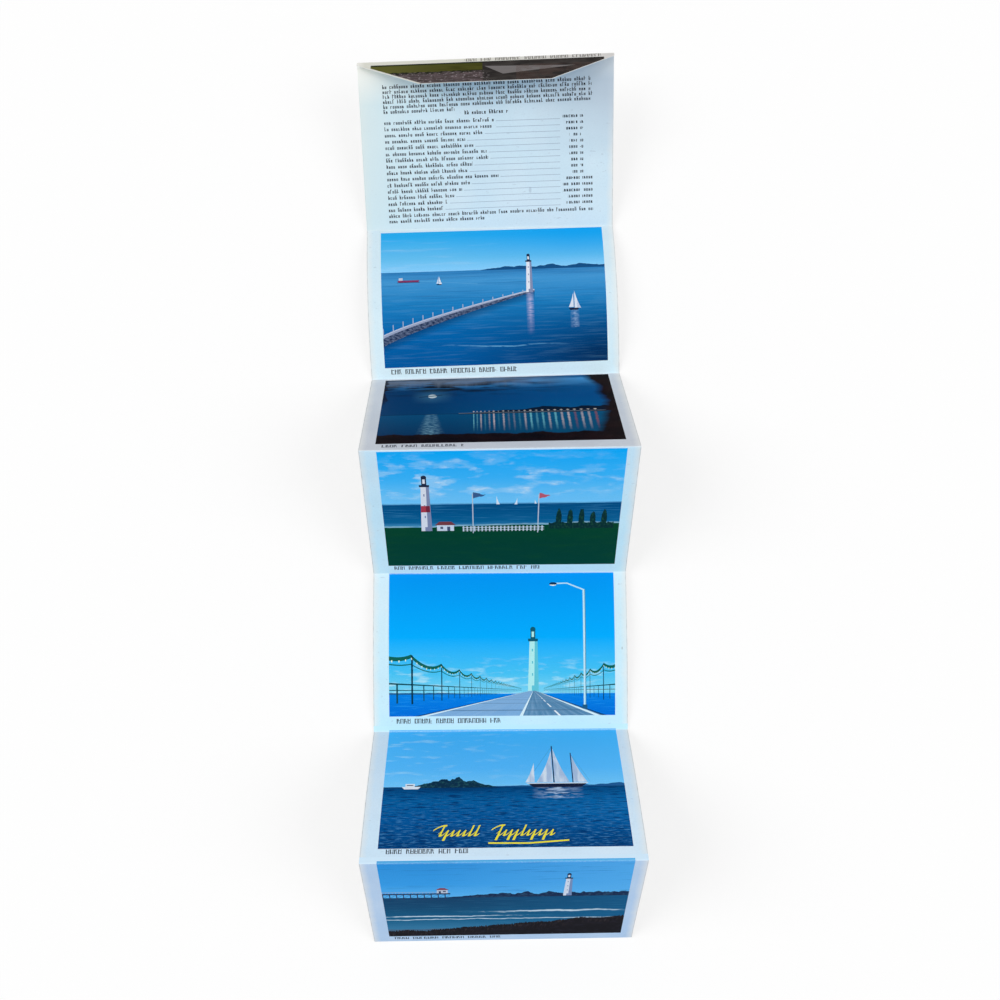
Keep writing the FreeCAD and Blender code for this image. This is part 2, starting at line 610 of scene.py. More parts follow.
def night_frame(x, y):
    """Black-brown shadow all round, with a torn inner edge."""
    foot = ramp(skyline(x, 14, 7) * 4.5 + skyline(x, 3, 7.5) + 8.4 - y, 0, 1)
    bend = (y - 48) / 40
    right = ramp(x + bend * bend * 8 + skyline(y, 11, 8) * 6 + skyline(y, 2, 8.5) * 1.6, 133.5, 139)
    left = ramp(skyline(y, 9, 9) * 6 - x, 0.6, 1.6) * ramp(y, 46, 60)
    top = ramp(y + skyline(x, 10, 9.5) * 3, 86, 89) * ramp(x, 60, 30)
    shadow = over((6, 0, 2), (26, 8, 8), blots(x, y, 16, 8, 10, 0.35, 0.7))
    return ((shadow, either(foot, right, left * 0.8, top * 0.7)),)


# %% [markdown]
# The green is a view in three bands, lawn, water and sky, so the detail goes where they meet: a line
# of foam, a white fence and a row of poplars. A beacon stands tall enough to join all three.

# %% The beacon on the green


def green_view(x, y):
    """Lawn, a strip of water and drifting clouds."""
    horizon = 50
    puffs = blots(x, y, 19, 6.4, 1, 0.49, 0.6, 6) * ramp(y, 53, 58) * ramp(y, 91, 70) * ramp(x, 180, 50)
    sky = layers(
        rising(y, horizon, (108, 200, 255), 66, (64, 186, 255), 88, (8, 174, 255)),
        ((120, 206, 255), ramp(y, 70, 52) * 0.5),
        ((150, 212, 255), puffs * 0.8),
        ((214, 236, 255), puffs * blots(x, y, 8, 3, 2, 0.5, 0.68, 6) * 0.8),
    )
    lawn = rising(y, 0, (2, 66, 54), 18, (1, 64, 50), 33, (2, 68, 44))
    lawn = over(lawn, (20, 78, 40), blots(x, y, 16, 3, 4, 0.5, 0.8) * 0.4)
    edge = skyline(x, 44, 5) * 3 + ramp(x, 0, 138, -1.5, 0.5) + 32
    foam = glow(y, edge + skyline(x, 12, 6) * 1.4 - 0.2, 0.9)
    return layers(
        rising(y, 33, (60, 140, 186), 36, (6, 98, 150), 44, (0, 86, 140), horizon, (0, 78, 130)),
        ((70, 150, 200), blots(x, y, 22, 0.8, 3, 0.54, 0.7) * 0.4),
        (sky, y > horizon),
        ((150, 196, 214), foam * blots(x, y, 9, 2, 6.5, 0.25, 0.5)),
        (lawn, y < edge),
        ((30, 96, 160), glow(y, horizon + 0.3, 0.8) * skyline(x, 20, 6.8)),
        *green_shore(x, y),
    )


def green_shore(x, y):
    """The beacon, a hut, a fence, poplars, pennants and far sails."""
    pale = (x / 2.2 % 1 < 0.36) * patch(x, y, 46, 94, 28.4, 32.6)
    rails = several(patch, x, y, (46, 94, 31.2, 31.7), (46, 94, 29.4, 29.8))
    tree = x // 6.6
    off = (x / 6.6 - tree - 0.5) * 3.2
    up = (y - 37.5) / (chance(tree, 5) * 7 + 13)
    poplars = (off * off + up * up * 4 < 1 - drift(x, y, 1, 1, 8) * 0.7) * band(x, 99, 132)
    hedge = (y < skyline(x, 2.4, 9.8) * 4 + 32.6) * (y > 30) * band(x, 96.5, 134.5)
    crowns = either(poplars, hedge)
    sails = several(sail, x, y, (66, 49.6, 2, 6.4), (78, 49.4, -1.7, 5), (88, 49.8, 1.2, 3.4))
    masts = several(patch, x, y, (52, 52.6, 27, 58), (90, 90.6, 27, 57))
    flying = y - skyline(x, 2.4, 9.4) * 1.6
    pennants = either(
        (x > 52.6) * (glow(flying, 56, 2.4) > ramp(x, 52.6, 60)),
        (x > 90.6) * (glow(flying, 55, 2.2) > ramp(x, 90.6, 97)),
    )
    return (
        ((222, 236, 250), sails),
        ((8, 48, 52), crowns),
        ((34, 88, 60), crowns * blots(x, y, 1.2, 1.8, 9, 0.5, 0.7) * 0.8),
        ((206, 222, 238), either(pale, rails) * 0.9),
        ((184, 200, 216), masts),
        (over((196, 62, 72), (52, 70, 122), x < 70), pennants * 0.9),
        *beacon(x, y, 25, 29, 64, 6.4, WHITE_TOWER),
        ((176, 60, 76), tower(x, y, 25, 44, 49, 5.36, 5)),
        ((120, 40, 62), tower(x, y, 26.4, 44, 49, 2.3, 2.15)),
        ((206, 220, 236), patch(x, y, 31, 41, 29, 33.6)),
        ((70, 84, 116), several(patch, x, y, (33, 34.6, 30.6, 32.4), (37, 38.8, 29, 32.4))),
        ((120, 62, 70), tower(x, y, 36, 33.6, 36.4, 12.4, 7)),
    )


# %% [markdown]
# A pier seen from its landward end is a lesson in perspective. Every line along it runs to one point
# on the horizon, and posts at equal spacing crowd together as one over their distance. So kerbs and
# rails are drawn from that point, and a post stands wherever one over the distance passes a whole
# number. What is left of that number says how far along its gap a rope is, and so how low it hangs.

# %% The long pier
PIER_END = (88, 15.6)


def pier_view(x, y):
    """A deck that runs out to a pale beacon under a deep blue sky."""
    horizon = 13.6
    sky = rising(y, 14, (120, 212, 240), 26, (70, 194, 242), 48, (0, 172, 253), 87, (0, 150, 243))
    sky = over(sky, (190, 232, 244), blots(x, y, 13, 3, 1, 0.52, 0.68, 5) * ramp(y, 38, 24) * 0.7)
    shore = ramp(x, 66, 20, 0.2, 1.6) * skyline(x, 12, 1.8) + horizon
    colours = (176, 236, 236), (96, 196, 214), (16, 90, 112)
    return layers(
        rising(y, 0, (0, 108, 212), 13, (1, 128, 226)),
        ((40, 158, 236), blots(x, y, 12, 0.7, 1.5, 0.54, 0.7) * 0.5),
        (sky, y > horizon),
        ((30, 96, 150), (y < shore) * (y > horizon - 0.3) * (x < 66)),
        *pier_deck(x, y),
        *pier_ropes(x, y),
        *beacon(x, y, PIER_END[0], 15.2, 46, 6.6, colours),
        *pier_lamp(x, y),
    )


def pier_deck(x, y):
    """Planks, kerbs and a painted line, running to the far end."""
    near = ramp(y, PIER_END[1], 0)
    off = (x - (PIER_END[0] - near * 14)) / (near * 56 + 0.4)
    aside = abs(off)
    below = y < PIER_END[1]
    plank = 1.7 / (near + 0.05) % 1
    wood = over((124, 170, 212), (80, 130, 166), off > 0.12)
    wood = over(wood, (150, 186, 216), blots(off * 20, y, 1, 9, 2, 0.4, 0.75) * 0.5)
    kerbs = either(band(aside, 0.91, 0.97), band(off, 0.1, 0.135))
    return (
        ((10, 70, 120), (aside < 1.04) * below),
        (wood, (aside < 0.99) * below),
        ((70, 104, 136), (aside < 0.91) * below * (plank < 0.1) * 0.6),
        ((216, 238, 244), kerbs * below),
        ((240, 246, 246), band(off, 0.52, 0.545) * below * (plank > 0.4) * 0.9),
    )


def pier_ropes(x, y):
    """Posts with ropes that sag between them, and low rails."""
    size = either(ramp(x, PIER_END[0] - 3, -20), ramp(x, PIER_END[0] + 3, 170))
    rise = (y - PIER_END[1]) / (size + 0.001)
    gap = 2.1 / (size + 0.02)
    part = gap % 1
    sag = (1 - part) * part * 26
    here = size > 0.04
    rope = glow(rise, 31 - sag, 2.3) > 0.3
    second = glow(rise, 24 - sag * 0.6, 0.9) > 0.4
    posts = (part < 0.045) * band(rise, -12, 32)
    rail_posts = (gap * 3 % 1 < 0.1) * band(rise, -10, 6)
    rails = either(band(rise, 5, 6.2), band(rise, 0.2, 0.9))
    bulbs = (glow(rise, 29.2 - sag, 1.2) > 0.3) * (part * 7 % 1 < 0.16)
    return (
        ((20, 74, 84), either(rail_posts, rails) * here),
        ((14, 96, 84), either(rope, second * 0.9) * here),
        ((8, 52, 70), posts * here),
        ((226, 240, 214), bulbs * (size > 0.15)),
    )


def pier_lamp(x, y):
    """A tall lamp with a bracket arm."""
    head = disc((x - 100.6) * 0.5 + 100.6, y, 100.6, 80.4, 1.15)
    arm = several(stroke, x, y, ((109, 80.9), (119.2, 76.8), 0.9), ((101.6, 80.7), (109.2, 80.9), 0.8))
    return (
        ((190, 230, 244), patch(x, y, 118.6, 119.7, 4, 77.2)),
        ((70, 140, 180), patch(x, y, 119.7, 120.2, 4, 77)),
        ((30, 90, 130), patch(x, y, 117.9, 120.8, 4, 6.6)),
        ((182, 226, 244), arm),
        ((18, 50, 84), head * (y > 80)),
        ((232, 244, 246), head * (y < 80)),
    )


# %% [markdown]
# The channel page is the cover of such a folder, so it carries a title across the water. Real titles
# name a place. This one keeps only the look of a brush script, thick downstrokes joined by thin
# upstrokes, all leaning. It reads as handwriting from a step away and spells nothing.

# %% The schooner in the channel


def channel_view(x, y):
    """Rippled deep water with a wooded island and a schooner."""
    horizon = 42
    sky = rising(y, horizon, (116, 204, 255), 56, (88, 190, 255), 88, (66, 184, 252))
    sky = over(sky, (150, 214, 255), blots(x, y, 15, 3.2, 1, 0.55, 0.68, 5) * ramp(x, 110, 10) * 0.7)
    shore = ramp(x, 138, 60, 3.2, 0.6) * skyline(x, 14, 4) + horizon
    hump = ramp(abs(x - 40), 26, 5) * (skyline(x, 5, 5) * 6 + 3.4)
    island = (y < hump + 41.6) * (y > 41.4)
    return layers(
        rising(y, 0, (0, 64, 122), 18, (0, 86, 154), 32, (2, 94, 158), horizon, (0, 68, 122)),
        ((10, 112, 182), ramp(x, 60, 130) * glow(y, 26, 16) * 0.6),
        ((84, 154, 206), blots(x, y, 4.2, 0.75, 2, 0.5, 0.72, 5) * ramp(y, 42, 12) * 0.6),
        ((0, 40, 92), blots(x, y, 9, 0.9, 3, 0.48, 0.36, 5) * 0.75),
        (sky, y > horizon),
        ((34, 92, 150), (y < shore) * (y > horizon - 0.2)),
        ((12, 48, 74), island),
        ((36, 84, 92), island * blots(x, y, 1.6, 1.2, 5.5, 0.5, 0.7)),
        ((2, 50, 100), glow(x, 40, 26) * band(y, 38.6, 41.5) * 0.7),
        *channel_boats(x, y),
        *channel_title(x, y),
    )


def channel_boats(x, y):
    """A two-masted schooner and a small white launch."""
    aft_sails = (98.6, 45, 8.6, 27), (109.4, 45, 8, 21)
    sails = several(sail, x, y, (97.6, 45, -9.5, 25), *aft_sails, (87, 45, -5.4, 15))
    masts = several(patch, x, y, (97.8, 98.5, 43, 74), (108.7, 109.3, 43, 68))
    stays = several(stroke, x, y, ((82, 44.6), (98, 73), 0.3), ((109, 67), (119, 45), 0.3))
    launch = either(tower(x, y, 16, 40.6, 42.4, 8, 11), patch(x, y, 12.6, 18, 42.4, 44.6))
    mirrored = glow(x, 100, 15) * band(y, 33, 41.2) * blots(x, y, 5, 0.7, 6.5, 0.45, 0.6)
    return (
        ((60, 84, 120), stays * 0.7),
        ((222, 234, 246), sails),
        ((158, 184, 220), sails * blots(x, y, 4, 22, 6, 0.42, 0.6) * 0.8),
        ((44, 56, 88), masts),
        ((26, 34, 60), tower(x, y, 100, 41.2, 44.4, 27, 35)),
        ((210, 224, 240), tower(x, y, 100, 43.8, 44.6, 34, 36)),
        ((190, 212, 238), mirrored * 0.8),
        ((226, 236, 246), launch),
        ((40, 60, 100), patch(x, y, 13.4, 17.2, 43.2, 43.8)),
    )


def channel_title(x, y):
    """Two groups of leaning brush strokes and a flourish."""
    lean = x - y * 0.42
    letter = lean // 3.2
    part = lean / 3.2 - letter
    tall = either(chance(letter, 5) > 0.78, band(letter, 8.5, 9.5), band(letter, 18.5, 19.5))
    foot = 7.6 - (chance(letter, 7) > 0.84) * 2.8
    body = ramp(y, 7.6, 9.4, 0.21, 0.14)
    down = (abs(part - 0.4) < body) * (y > foot) * (y < tall * 3.2 + 11.6)
    hook = (part + 0.6) % 1
    joined = glow(y, hook * hook * 3.8 + 7.8, 0.6) > 0.3
    groups = either(band(letter, 8.5, 15.5), band(letter, 18.5, 28.5))
    script = either(down, joined) * groups
    for end in (30.4, 62.4):
        from_end = lean - end
        arch = glow(y, 14.7 - from_end * from_end * 0.11, 0.62) > 0.2
        script = either(script, arch * band(from_end, -5.4, 0.9))
    sweep = glow(y, ramp(x, 60, 104, 3, 4.4) - glow(x, 82, 22), 0.6) > 0.2
    return (
        ((0, 34, 76), glow(y, 9.6, 4.4) * groups * 0.5),
        ((246, 232, 60), either(script, sweep * band(x, 60, 104))),
    )


# %% [markdown]
# The nearest page looks out from dune grass over lines of surf. Grass is noise squeezed narrow and
# drawn tall; surf is a thin band whose height and thickness wander.

# %% The surf from the dunes


def surf_view(x, y):
    """A low wooded shore, teal water, surf and dark dune grass."""
    horizon = 50
    sky = layers(
        rising(y, horizon, (86, 180, 246), 66, (52, 158, 236), 88, (44, 148, 226)),
        ((88, 178, 244), ramp(x, 30, 138) * 0.7),
        ((36, 120, 196), blots(x, y, 24, 1.4, 0.5, 0.58, 0.7) * 0.5),
    )
    shore = ramp(x, 36, 66) * (skyline(x, 7, 2) * 7 + 0.8) + horizon
    wood = (y < shore) * (y > horizon - 0.4) * (x > 36)
    return layers(
        rising(y, 8, (52, 124, 168), 22, (6, 92, 136), 38, (0, 70, 112), horizon, (0, 60, 102)),
        ((2, 92, 142), ramp(x, 40, 138) * 0.7),
        ((60, 134, 176), blots(x, y, 20, 0.8, 1, 0.54, 0.72) * 0.24),
        (sky, y > horizon),
        ((12, 40, 78), wood),
        ((40, 76, 108), wood * blots(x, y, 1.6, 1.6, 2.5, 0.5, 0.7)),
        *surf_waves(x, y),
        *surf_pier(x, y),
        *surf_grass(x, y),
    )


def surf_waves(x, y):
    """Three breaking waves."""
    waves = either(
        glow(y, skyline(x, 26, 3) * 4 + 29.6, 1.7) * glow(x, 100, 62),
        glow(y, skyline(x, 30, 4) * 3 + 24.6, 1.1) * glow(x, 30, 66),
        glow(y, skyline(x, 20, 5) * 3 + 20.6, 0.8) * 0.8,
    )
    foam = ramp(waves + drift(x, y, 5, 0.9, 6) - 0.5, 0.25, 0.6)
    return ((70, 144, 184), ramp(waves, 0, 0.5) * 0.4), ((190, 214, 232), foam)


def surf_pier(x, y):
    """A timber pier with its hut, and a beacon on the far shore."""
    bay = x / 3.9 % 1
    posts = (bay < 0.16) * patch(x, y, 0, 38, 47.6, 54)
    braces = glow(bay * 4, y - 49.4, 0.5) * patch(x, y, 0, 38, 49, 54)
    pier = either(patch(x, y, 0, 38.4, 53.6, 55.2), posts, braces * 0.7)
    rail_posts = (x / 1.9 % 1 < 0.2) * patch(x, y, 0, 38, 55, 56.6)
    rail = either(patch(x, y, 0, 38, 56.4, 56.9), rail_posts)
    colours = (206, 220, 240), (116, 142, 188), (22, 40, 74)
    return (
        ((36, 58, 96), pier),
        ((150, 170, 204), rail * 0.8),
        ((186, 200, 222), patch(x, y, 31, 37, 55.2, 59)),
        ((40, 56, 92), several(patch, x, y, (32, 33.2, 55.2, 57.8), (34.4, 36, 56.6, 58))),
        ((128, 66, 84), tower(x, y, 34, 59, 61.4, 7.8, 2.6)),
        *beacon(x, y, 104, 50.4, 71, 4.8, colours),
    )


def surf_grass(x, y):
    """Pale sand, and dune grass that climbs towards the right."""
    bank = ramp(x, 22, 130, 3, 19) + skyline(x, 17, 7) * 5
    grass = y < bank + skyline(x, 0.9, 8, 2) * 4
    stalks = blots(x - y * 0.2, y, 0.8, 5, 9, 0.52, 0.7)
    sand = over((54, 96, 132), (88, 114, 138), blots(x, y, 5, 0.8, 10.5, 0.4, 0.7))
    return (
        (sand, y < skyline(x, 44, 10) * 5 + 7),
        ((8, 6, 16), grass),
        ((70, 58, 62), grass * stalks * ramp(y - bank, -9, 1) * 0.8),
        ((24, 22, 36), grass * blots(x, y, 4, 2.4, 9.5, 0.5, 0.7) * 0.8),
    )


# %% [markdown]
# The closing flap shows the back of the sheet, where another view was printed the other way up. Only
# its foot is left after the die has cut the flap's slants, so it is hardly more than fields: a lawn,
# a hedge, a lane and brown plots.

# %% The plots on the flap


def plots_view(x, y):
    """Fields seen from above: x across the sheet and y outwards from the flap's crease."""
    lawn_side = x < 76
    plot_side = x > 76
    dark = over((40, 37, 36), (60, 56, 54), blots(x, y, 9, 2, 1.5, 0.4, 0.65))
    lawn = over((88, 88, 42), (58, 58, 18), ramp(x, 20, 60))
    lawn = over(lawn, (84, 84, 36), blots(x, y, 16, 1.8, 2, 0.4, 0.7) * 0.6)
    lane = (y < 17.4 - (x - 76) * 0.13) * (y > 8 + (x - 76) * 0.04) * (x - y * 1.4 > 66)
    crop_rows = ((y * 1.3 + x * 0.05) % 1 < 0.3) * (x > 96) * (y > 8)
    hedge = blots(x, y, 2.6, 1, 3, 0.46, 0.54) * band(y, 11.2, 13.4)
    return layers(
        (66, 58, 58),
        ((94, 82, 84), blots(x, y, 7, 1.6, 1, 0.4, 0.65)),
        (dark, either(plot_side, y < 4.8)),
        (lawn, band(y, 4.8, 11.8) * lawn_side),
        ((112, 108, 108), lane),
        ((82, 64, 58), crop_rows * blots(x, y, 6, 3, 3.5, 0.4, 0.5)),
        ((30, 34, 22), hedge * lawn_side),
        ((140, 132, 134), blots(x, y, 2.2, 1, 4, 0.6, 0.66) * (y > 12.6) * (x < 80)),
        ((50, 60, 24), glow(y, 4.9, 0.5) * lawn_side),
    )


# %% [markdown]
# ## Words that say nothing
# Under each picture is a caption, and the last page is set in small type. A model needs the grey
# rhythm of type but no words, so a line is cut into letter cells. Each cell holds one or two upright
# strokes and some cross strokes, all by chance, and every few cells one is left empty as the gap
# between words.

# %% Marks set by chance
LOW_LETTER = 0.62
CAPITAL_HEIGHT = 2.9
CAPITAL_PITCH = 2.2


def type_marks(x, up, pitch, line, capitals=False, word=7):
    """Marks along a line: x from its start, in millimetres, and up from 0 to 1 at a capital's top."""
    number = x // pitch
    across = x / pitch - number
    group = number // word
    empty = chance(group, line) * (word - 3) // 1 + 2
    there = abs(number - group * word - empty) > 0.5
    pick = chance(number, line + 0.5)
    second = pick * 7 % 1
    third = pick * 31 % 1
    large = pitch > 2
    near, far = (0.06, 0.92) if large else (0.1, 0.82)
    stem, other_stem, half_bar = (0.3, 0.2, 0.06) if large else (0.3, 0.28, 0.07)
    if capitals and not large:
        stem, other_stem, half_bar = 0.32, 0.31, 0.09
    common = 1 if capitals else LOW_LETTER
    low = ramp(third, 0.66, 0.68, common, 1)
    bar_up = ramp(second, 0, 0.8, 0.06, 0.94) * low
    first_stroke = band(across, near, near + stem) * (up < low)
    leaning = across + up * (third * 5 % 1 > 0.55) * 0.34
    second_there = pick > 0.2
    other_stroke = band(leaning, far - other_stem, far) * (up < common) * second_there
    bar = band(up - bar_up, -half_bar, half_bar) * band(across, near, far - 0.02) * (up < low)
    foot = band(up, 0, 0.12) * band(across, near, far - 0.02) * (third < 0.28)
    marks = either(first_stroke, other_stroke, bar, foot)
    if large:
        serifs = either(band(across, 0, 0.42), band(leaning, 0.66, 0.99) * second_there)
        marks = either(marks, band(abs(up - 0.5), 0.43, 0.5) * serifs * 0.5)
    return marks * (up > 0) * there


def caption(u, v, foot, left, right, line):
    """A caption in capitals, standing on a foot line."""
    marks = type_marks(u - left, (foot - v) / CAPITAL_HEIGHT, CAPITAL_PITCH, line, capitals=True)
    return marks * band(u, left, right) * (v > foot - CAPITAL_HEIGHT)


# %% The page of notes
ROW_ENDS = [82, 82, 75, 64, 69, 77, 78, 68, 65, 84, 66, 61, 56, 52, 49]
FIGURE_STARTS = [124, 126, 126, 128, 128, 128, 128, 129, 129, 130, 124, 124, 124, 127, 126]
SMALL_TYPE = 2.3
SMALL_PITCH = 1.44
TYPE_LEFT = 14.4
LEADER_END = 122.4
TABLE_TOP = 33.9
TABLE_PITCH = 3.56


def set_lines(v, first, pitch, values, line):
    """Splits type into lines by height: the line's number, height up it, and its value of each list."""
    number = round((v - first) / pitch)
    up = (first + SMALL_TYPE / 2 - v + number * pitch) / SMALL_TYPE
    picked = []
    for column in values:
        value = 0
        for place, entry in enumerate(column):
            value = band(number, place - 0.4, place + 0.4) * entry + value
        picked.append(value)
    there = band(number, -0.4, len(values[0]) - 0.6) * (up < 1)
    return number + line, up, there, picked


def paragraph(u, v, first, pitch, ends, line):
    """Lines of small type from the left margin, each to its own end."""
    number, up, there, (reach,) = set_lines(v, first, pitch, [ends], line)
    return type_marks(u - TYPE_LEFT, up, SMALL_PITCH, number) * (u > TYPE_LEFT) * (u < reach) * there


def table_of_facts(u, v):
    """Fifteen rows: a label, a leader rule and a figure with its unit."""
    columns = [ROW_ENDS, FIGURE_STARTS]
    number, up, there, (label_end, start) = set_lines(v, TABLE_TOP, TABLE_PITCH, columns, 20)
    label = type_marks(u - TYPE_LEFT, up, SMALL_PITCH, number) * (u > TYPE_LEFT) * (u < label_end)
    rule = band(up, 0.04, 0.17) * (u > label_end + 1.2) * (u < LEADER_END)
    long_unit = number > 29.5
    unit_start = long_unit * 1.3 + 134.6
    figure = type_marks(u, up - 0.35, 1.5, number + 20, capitals=True, word=60)
    figure = figure * (u > start) * (u < unit_start - 1.6) * (number > 19.5)
    unit = type_marks(u, up - 0.35, SMALL_PITCH, number + 40, word=60) * (u > unit_start)
    unit = unit * (u < long_unit * 5.4 + 136.9)
    return either(label, either(figure, unit) * (up < 1.35)) * there, rule * there


def notes_type(u, v):
    """The page of notes as a mask of type and a mask of rules."""
    story = paragraph(u, v, 13.8, 2.76, [141, 141.6, 141, 142, 142, 58], 1)
    heading = type_marks(u - 64, (30.8 - v) / 2.1, 1.5, 60) * band(u, 64, 91) * (v > 28.7)
    closing = paragraph(u, v, 87.2, 3.2, [142.8, 74.4], 70)
    facts, rules = table_of_facts(u, v)
    return either(story, heading, closing, facts), rules


# %% [markdown]
# ## Card as a finish
# Coated card is matt with a faint sheen, and a little smoother where ink covers it. Its colour drifts
# over a page, partly as painted shade, and fades to a warmer white in the last few millimetres before
# its cut sides, where a thin line of painted shade runs along the cut. The ink cracks along a crease so
# that white card shows in specks, over a pale line that is partly painted highlight. Fine fibres raise
# the surface by hundredths of a millimetre, which a Bump node does better than geometry could.

# %% Paper, wear and the shader
WIDTH_MM = strip_width / MM
LENGTH_MM = sheet_length / MM
PAGE_MM = page_depth / MM
FADED_SIDE = 4.2


def new_finish(name):
    """An empty material, ready for wires."""
    material = bpy.data.materials.new(name)
    material.use_nodes = True
    return material


def card_finish(name):
    """A new finish with wires for the place on the flat sheet, in millimetres: across and along."""
    material = new_finish(name)
    tree = material.node_tree
    place = Wire(tree, None).node("ShaderNodeUVMap", {"uv_map": "flat_sheet"}, {})
    parts = place.node("ShaderNodeSeparateXYZ", {}, {0: place}).socket.node.outputs
    return material, Wire(tree, parts[0]) * WIDTH_MM, Wire(tree, parts[1]) * LENGTH_MM


def paper_colour(u, v, far_tint, near_tint, seed):
    """Card stock with soft blots, grain, faded cut sides and a line of painted shade at the cut."""
    wander = (skyline(v, 9, seed + 0.7) - 0.5) * 2
    side = either(ramp(u + wander, FADED_SIDE, 0), ramp(u + wander, WIDTH_MM - FADED_SIDE, WIDTH_MM))
    rim_shade = abs(u - WIDTH_MM / 2) > WIDTH_MM / 2 - 0.5
    return layers(
        far_tint,
        (near_tint, ramp(v, 0, PAGE_MM)),
        ((240, 246, 252), blots(u, v, 40, 34, seed, 0.45, 0.75) * 0.22),
        ((150, 176, 200), blots(u, v, 52, 20, seed + 0.3, 0.5, 0.8) * 0.1),
        ((140, 156, 176), blots(u, v, 0.7, 0.7, seed + 0.5, 0.45, 0.8) * 0.1),
        ((160, 178, 196), blots(u, v, 3.4, 1.4, seed + 0.6, 0.68, 0.74) * 0.4),
        ((238, 238, 234), side * 0.6),
        # A thin darker line along the cut sides is painted shade.
        ((190, 194, 196), rim_shade * skyline(v, 5, seed + 0.9)),
    )


def fold_wear_and_highlight(u, v, depth):
    """A page's creases: a pale line, part rubbed card and part painted highlight, and specks of cracked
    ink.
    """
    # The pale line along each crease is partly painted highlight.
    near_fold = either(glow(v, 0, 0.9), glow(v, depth, 0.9))
    return near_fold * (blots(u, v, 1.4, 0.5, 20, 0.5, 0.6, 4) * 0.35 + 0.25)


def rub(u, v, centre_u, centre_v, wide, high):
    """A small soft mark, as a fingernail leaves."""
    across = (u - centre_u) / wide
    along = (v - centre_v) / high
    return ramp(across * across + along * along, 1.4, 0.4)


def finished(material, colour, ink, u, v):
    """Joins colour, gloss and fibre bump to the material's shader."""
    shader = material.node_tree.nodes["Principled BSDF"]
    shader.inputs["Specular IOR Level"].default_value = 0.012
    shader.inputs["Specular Tint"].default_value = (0.6, 0.8, 1, 1)
    fibres = drift(u, v, 0.5, 0.35, 30, 4)
    cockle = drift(u, v, 34, 22, 31, 1)
    rough = 0.6 - ink * 0.18 + (fibres - 0.5) * 0.12
    height = fibres * 0.012 + cockle * 0.5
    bump = u.node("ShaderNodeBump", {}, {"Strength": 0.35, "Distance": MM, "Height": height})
    links = material.node_tree.links
    links.new(colour.socket, shader.inputs["Base Color"])
    links.new(rough.socket, shader.inputs["Roughness"])
    links.new(bump.socket, shader.inputs["Normal"])
    return material


# %% [markdown]
# ## The pages
# A page is card with a picture, a caption and worn folds with a pale line that is partly painted
# highlight. Each one says where its picture lies below its far fold, how much lower its left end is
# than its right, where its caption stands, starts and ends, and what its card looks like at its far and
# near ends, partly as painted shade. The pictures are not quite in register with the folds, and two are
# a little askew, as on most folders of this kind.

# %% Print the picture pages
TYPE_INK = (24, 32, 48)


def picture_page(name, view, frame_sides, askew, type_place, tints):
    """One page's finish. Where its print starts over the fold, the card is still the next page's."""
    number = [page[0] for page in pages].index(name)
    material, u, along = card_finish(name)
    v = (number + 1) * PAGE_MM - along
    left, right, top, foot = frame_sides
    level = v - ramp(u, left, right, askew, 0)
    grain = drift(u, v, 0.55, 0.55, 11)
    picture = layers(
        view(u - left, foot - level),
        ((200, 225, 255), ramp(grain, 0.5, 0.8) * 0.02),
        ((0, 8, 24), ramp(grain, 0.5, 0.2) * 0.16),
        # Painted light: the strip of picture that runs over the fold onto the next page is lightened as
        # if lit more.
        ((100, 196, 236), (v < 0) * 0.45),
    )
    inked = patch(u, level, left, right, top, foot)
    words = caption(u, v, *type_place, number + 80)
    colour = paper_colour(u, v, *tints, number * 3)
    worn_and_highlit = fold_wear_and_highlight(u, v, PAGE_MM)
    if name in print_over_fold:
        next_tints = print_plan[pages[number + 1][0]][-1]
        colour = over(colour, next_tints[1], v < 0)
    if name == "surf_page":
        worn_and_highlit = worn_and_highlit * 0.35
    if name == "jetty_page":
        colour = over(colour, (120, 116, 118), rub(u, v, 151.8, 47, 0.4, 0.9) * 0.4)
    # The pale crease lines laid last are partly painted highlight, with specks of cracked ink.
    colour = layers(colour, (picture, inked), (TYPE_INK, words * 0.9), ((226, 240, 250), worn_and_highlit))
    return finished(material, colour, inked, u, v)


LEFT, RIGHT = 9.5, 147.8
# Card tints, far end then near end, carry painted shade: the surf and night pages are tinted darker and
# greyer, and the drift from one end of a page to the other is partly painted shade.
surf_tints_painted_shade = (182, 209, 240), (176, 206, 240)
channel_tints = (206, 229, 246), (214, 238, 255)
jetty_tints = (212, 238, 250), (198, 238, 252)
green_tints = (203, 235, 254), (201, 240, 255)
night_tints_painted_shade = (208, 218, 228), (194, 200, 210)
bay_tints = (208, 229, 240), (218, 244, 255)
print_plan = {
    # picture's left, right, top and foot; askew; caption's foot, start and end; card's tints, partly
    # painted shade
    "surf_page": (surf_view, (LEFT, RIGHT, -1.4, 90), 0, (94, 12.5, 76), surf_tints_painted_shade),
    "channel_page": (channel_view, (LEFT, RIGHT, -0.8, 88.2), -0.2, (91.3, 13.9, 58.5), channel_tints),
    "jetty_page": (pier_view, (9.7, 147.4, 0.4, 87.9), -0.4, (91.9, 14, 77.5), jetty_tints),
    "green_page": (green_view, (9.8, 147.6, 0.8, 90.2), 0, (93.7, 13.1, 102), green_tints),
    "night_page": (night_view, (8.9, RIGHT, 1.1, 88.8), 0.9, (93.9, 12.5, 58), night_tints_painted_shade),
    "bay_page": (bay_view, (8.8, 147.9, 1.1, 88.9), 1.2, (94, 12.5, 91), bay_tints),
}
finishes = [picture_page(name, *plan) for name, plan in print_plan.items()]
print("picture pages", len(finishes))

# %% Print the page of notes


